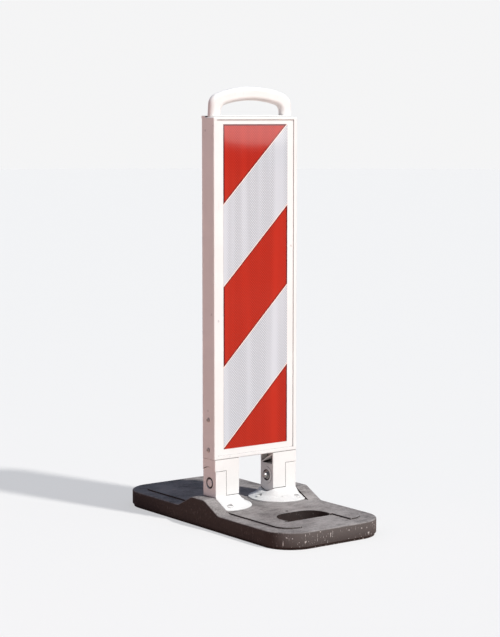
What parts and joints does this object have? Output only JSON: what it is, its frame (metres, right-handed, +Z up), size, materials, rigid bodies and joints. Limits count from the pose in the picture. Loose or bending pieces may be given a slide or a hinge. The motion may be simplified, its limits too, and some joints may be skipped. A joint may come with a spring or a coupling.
{
  "type": "vertical panel barricade",
  "caption": "Upright striped traffic panel with a carry handle on two folding legs, standing on a long, heavy recycled rubber base with a hand slot.",
  "frame": {"origin": "centre of the base's underside, on the surface that it stands on", "axes": "+X along the panel's width, +Y from the panel's main face to its back along the base's length, +Z up"},
  "size_m": [0.404, 0.876, 1.351],
  "materials": {
    "recycled_rubber": "rough moulded recycled rubber, scuffed and dusty",
    "white_plastic": "satin moulded white polyethylene",
    "red_film": "glossy red retroreflective film",
    "white_film": "glossy white retroreflective film with a fine diagonal prism pattern",
    "zinc_steel": "bright zinc plated steel",
    "brass": "plain turned brass",
    "bearing_plastic": "black low-friction nylon"
  },
  "bodies": {
    "base": {"base_plate": "recycled_rubber", "foot_left": "white_plastic", "foot_right": "white_plastic", "foot_screws": "zinc_steel", "foot_screw_washers": "zinc_steel", "foot_screw_caps": "white_plastic", "foot_inserts": "brass", "hinge_bolts": "zinc_steel", "hinge_head_washers": "zinc_steel", "hinge_thrust_discs": "bearing_plastic", "hinge_disc_springs": "zinc_steel", "hinge_nut_washers": "zinc_steel", "hinge_nuts": "zinc_steel", "hinge_caps": "white_plastic"},
    "panel": {"panel_front_shell": "white_plastic", "panel_rear_shell": "white_plastic", "front_red_film": "red_film", "front_white_film": "white_film", "rear_red_film": "red_film", "rear_white_film": "white_film", "hinge_block_left": "white_plastic", "hinge_block_right": "white_plastic", "hinge_bushes": "bearing_plastic", "side_screws": "zinc_steel", "side_screw_washers": "zinc_steel", "side_screw_inserts": "brass"}
  },
  "joints": [
    {"name": "panel_fold", "type": "hinge", "parent": "base", "child": "panel", "pos_m": [0, 0, 0.132], "axis": [1, 0, 0], "range_deg": [-90, 90]}
  ]
}
